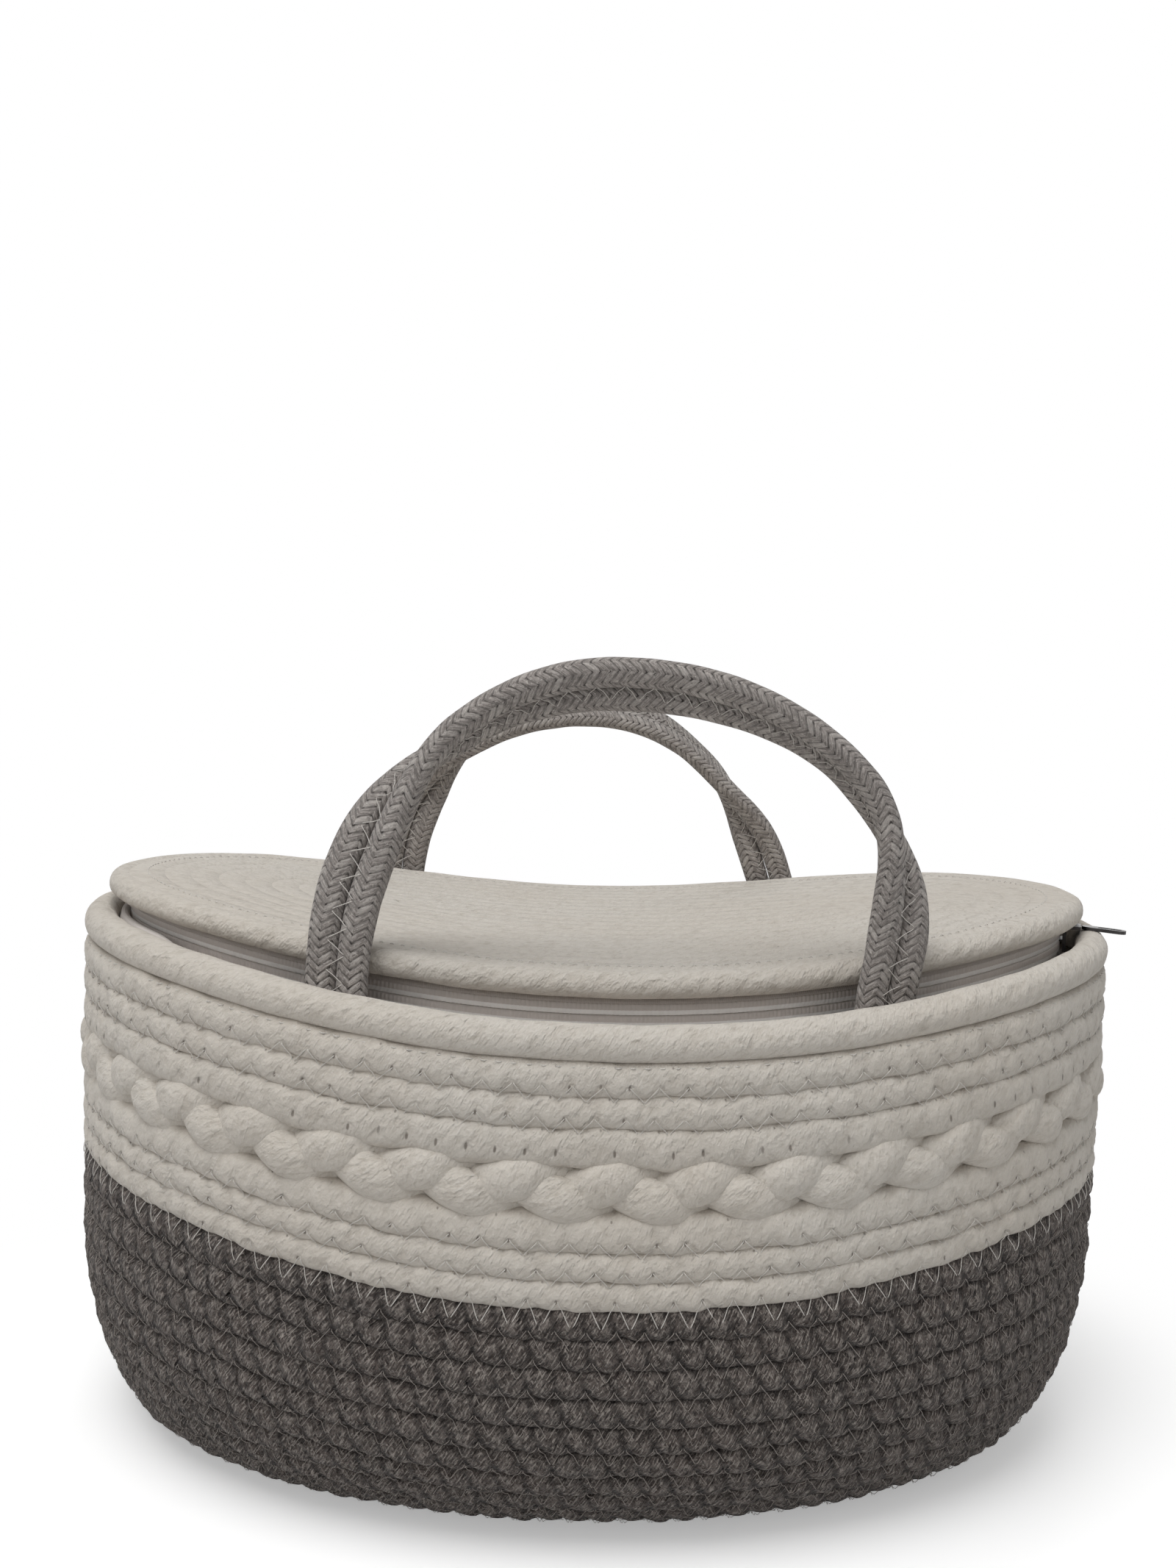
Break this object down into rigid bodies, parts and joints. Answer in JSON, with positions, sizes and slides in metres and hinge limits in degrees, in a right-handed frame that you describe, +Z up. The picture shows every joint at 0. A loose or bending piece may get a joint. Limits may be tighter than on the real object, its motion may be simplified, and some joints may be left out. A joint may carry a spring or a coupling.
{
  "type": "diaper caddy",
  "caption": "Oval coiled-rope caddy with a plaited band, a coiled lid on a cloth hinge with a zip round it, and two upright rope carry handles.",
  "frame": {"origin": "middle of the flat underside, on the floor", "axes": "+X towards the end with the zip slider, along the length; +Z up; the front, seen in the picture, faces -Y and the lid's hinge is at +Y"},
  "size_m": [0.3723, 0.2518, 0.2761],
  "materials": {
    "ivory_rope": "matte twisted cotton rope",
    "grey_rope": "matte heather cotton rope",
    "handle_rope": "matte braided cotton rope",
    "zip_tape": "woven tape",
    "zip_coil": "satin nylon coil",
    "zip_metal": "dark gunmetal plating"
  },
  "bodies": {
    "basket": {"base_coil": "grey_rope", "grey_wall_coil": "grey_rope", "lower_ivory_coil": "ivory_rope", "braid_strand_1": "ivory_rope", "braid_strand_2": "ivory_rope", "braid_strand_3": "ivory_rope", "upper_ivory_coil": "ivory_rope", "rim_rope": "ivory_rope", "rim_zip_tape": "zip_tape", "rim_zip_chain": "zip_coil", "hinge_tape": "zip_tape", "zip_stop_left": "zip_metal", "zip_stop_right": "zip_metal", "front_handle_left_end": "handle_rope", "front_handle_right_end": "handle_rope", "rear_handle_left_end": "handle_rope", "rear_handle_right_end": "handle_rope"},
    "lid": {"lid_coil": "ivory_rope", "lid_edge_rope": "ivory_rope", "lid_zip_tape": "zip_tape", "lid_zip_chain": "zip_coil"},
    "front_handle": {"front_handle_outer_rope": "handle_rope", "front_handle_inner_rope": "handle_rope"},
    "rear_handle": {"rear_handle_outer_rope": "handle_rope", "rear_handle_inner_rope": "handle_rope"},
    "slider": {"zip_slider": "zip_metal"},
    "pull": {"zip_pull": "zip_metal"}
  },
  "joints": [
    {"name": "lid_hinge", "type": "hinge", "parent": "basket", "child": "lid", "pos_m": [0, 0.104, 0.177], "axis": [-1, 0, 0], "range_deg": [0, 95]},
    {"name": "rear_handle_swing", "type": "hinge", "parent": "basket", "child": "rear_handle", "pos_m": [0, 0.107, 0.1737], "axis": [-1, 0, 0], "range_deg": [0, 85.5]},
    {"name": "front_handle_swing", "type": "hinge", "parent": "basket", "child": "front_handle", "pos_m": [0, -0.107, 0.1737], "axis": [1, 0, 0], "range_deg": [0, 80]},
    {"name": "zip_slider_travel", "type": "hinge", "parent": "basket", "child": "slider", "pos_m": [0.10114, 0, 0.174], "axis": [0, 0, 1], "range_deg": [0, 44]},
    {"name": "zip_pull_swing", "type": "hinge", "parent": "slider", "child": "pull", "pos_m": [0.17287, -0.02898, 0.18538], "axis": [-0.3746, -0.9272, 0], "range_deg": [0, 88]}
  ],
  "couplings": [
    {"joint": "rear_handle_swing", "follows": "lid_hinge", "ratio": 0.9}
  ]
}
